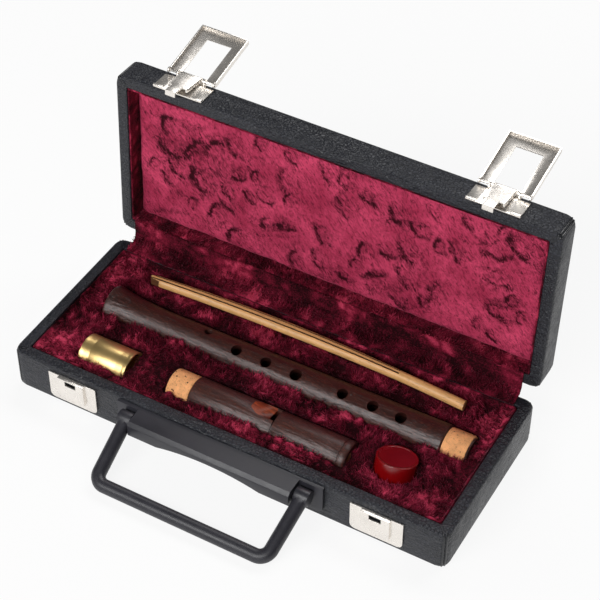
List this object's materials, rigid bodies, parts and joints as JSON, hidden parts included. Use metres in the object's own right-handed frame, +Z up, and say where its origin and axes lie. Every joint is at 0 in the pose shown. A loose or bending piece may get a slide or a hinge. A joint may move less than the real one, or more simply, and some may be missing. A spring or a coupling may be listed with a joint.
{
  "type": "cased soprano recorder",
  "caption": "Soprano recorder in separate corked pieces with a joining sleeve, lying in an open plush-lined hard case with lever latches and a folding handle.",
  "frame": {"origin": "middle of the case's flat underside", "axes": "+X to the right along the case, +Y from the front wall with the handle to the hinges, +Z up"},
  "size_m": [0.27, 0.2154, 0.1508],
  "materials": {
    "leatherette": "black grained leatherette",
    "board": "bare plywood",
    "foam": "firm grey foam",
    "plush": "crimson plush with a lumpy pile",
    "velvet": "crimson crushed velvet",
    "nickel": "bright nickel plate",
    "screw_steel": "plain steel",
    "handle_plastic": "satin black moulded plastic",
    "dark_wood": "oiled dark brown hardwood",
    "cedar": "bare cedar",
    "cork": "natural sheet cork",
    "brass": "polished brass with turned rings",
    "light_wood": "bare pale wood",
    "red_plastic": "glossy red plastic"
  },
  "bodies": {
    "case_base": {"base_board": "board", "base_cover": "leatherette", "bed_core_left": "foam", "bed_core_right": "foam", "bed_plush": "plush", "hinge_web": "plush", "handle_plate": "handle_plastic", "handle_screw_left": "screw_steel", "handle_screw_right": "screw_steel", "catch_plate_left": "nickel", "catch_plate_right": "nickel", "hinge_base_leaf_left": "nickel", "hinge_base_leaf_right": "nickel", "hinge_pin_left": "nickel", "hinge_pin_right": "nickel", "hinge_base_rivet_left_1": "nickel", "hinge_base_rivet_left_2": "nickel", "hinge_base_rivet_right_1": "nickel", "hinge_base_rivet_right_2": "nickel"},
    "lid": {"lid_board": "board", "lid_cover": "leatherette", "lid_wall_lining": "plush", "lid_panel_board": "board", "lid_panel_velvet": "velvet", "hinge_lid_leaf_left": "nickel", "hinge_lid_leaf_right": "nickel", "hinge_lid_rivet_left_1": "nickel", "hinge_lid_rivet_left_2": "nickel", "hinge_lid_rivet_right_1": "nickel", "hinge_lid_rivet_right_2": "nickel", "latch_bracket_left": "nickel", "latch_bracket_right": "nickel", "lever_pin_left": "nickel", "lever_pin_right": "nickel"},
    "latch_lever_left": {"latch_lever_left": "nickel"},
    "latch_lever_right": {"latch_lever_right": "nickel"},
    "latch_tongue_left": {"latch_tongue_left": "nickel"},
    "latch_tongue_right": {"latch_tongue_right": "nickel"},
    "handle_bail": {"handle_bail": "handle_plastic"},
    "recorder_body": {"recorder_body": "dark_wood", "body_cork": "cork"},
    "recorder_head": {"recorder_head": "dark_wood", "head_cork": "cork", "head_block": "cedar"},
    "joining_sleeve": {"joining_sleeve": "brass"},
    "cleaning_rod": {"cleaning_rod": "light_wood"},
    "grease_pot": {"grease_pot": "red_plastic"},
    "grease_lid": {"grease_lid": "red_plastic"}
  },
  "joints": [
    {"name": "lid_hinge", "type": "hinge", "parent": "case_base", "child": "lid", "pos_m": [0, 0.0586, 0.0285], "axis": [-1, 0, 0], "range_deg": [-93, 0], "deforming": ["hinge_web"]},
    {"name": "latch_lever_left_swing", "type": "hinge", "parent": "lid", "child": "latch_lever_left", "pos_m": [-0.095, 0.07813, 0.14324], "axis": [-1, 0, 0], "range_deg": [-166, 0]},
    {"name": "latch_lever_right_swing", "type": "hinge", "parent": "lid", "child": "latch_lever_right", "pos_m": [0.095, 0.07813, 0.14324], "axis": [-1, 0, 0], "range_deg": [-166, 0]},
    {"name": "latch_tongue_left_swing", "type": "hinge", "parent": "lid", "child": "latch_tongue_left", "pos_m": [-0.095, 0.07813, 0.14324], "axis": [-1, 0, 0], "range_deg": [-6.5, 0]},
    {"name": "latch_tongue_right_swing", "type": "hinge", "parent": "lid", "child": "latch_tongue_right", "pos_m": [0.095, 0.07813, 0.14324], "axis": [-1, 0, 0], "range_deg": [-6.5, 0]},
    {"name": "handle_swing", "type": "hinge", "parent": "case_base", "child": "handle_bail", "pos_m": [0, -0.061, 0.019], "axis": [-1, 0, 0], "range_deg": [0, 110]},
    {"name": "recorder_body_lift", "type": "slide", "parent": "case_base", "child": "recorder_body", "axis": [0, 0, 1], "range_m": [0, 0.05]},
    {"name": "recorder_head_lift", "type": "slide", "parent": "case_base", "child": "recorder_head", "axis": [0, 0, 1], "range_m": [0, 0.05]},
    {"name": "joining_sleeve_lift", "type": "slide", "parent": "case_base", "child": "joining_sleeve", "axis": [0, 0, 1], "range_m": [0, 0.05]},
    {"name": "cleaning_rod_lift", "type": "slide", "parent": "case_base", "child": "cleaning_rod", "axis": [0, 0, 1], "range_m": [0, 0.05]},
    {"name": "grease_pot_lift", "type": "slide", "parent": "case_base", "child": "grease_pot", "axis": [0, 0, 1], "range_m": [0, 0.05]},
    {"name": "grease_lid_pull", "type": "slide", "parent": "grease_pot", "child": "grease_lid", "axis": [0, 0.309, 0.9511], "range_m": [0, 0.016]}
  ]
}
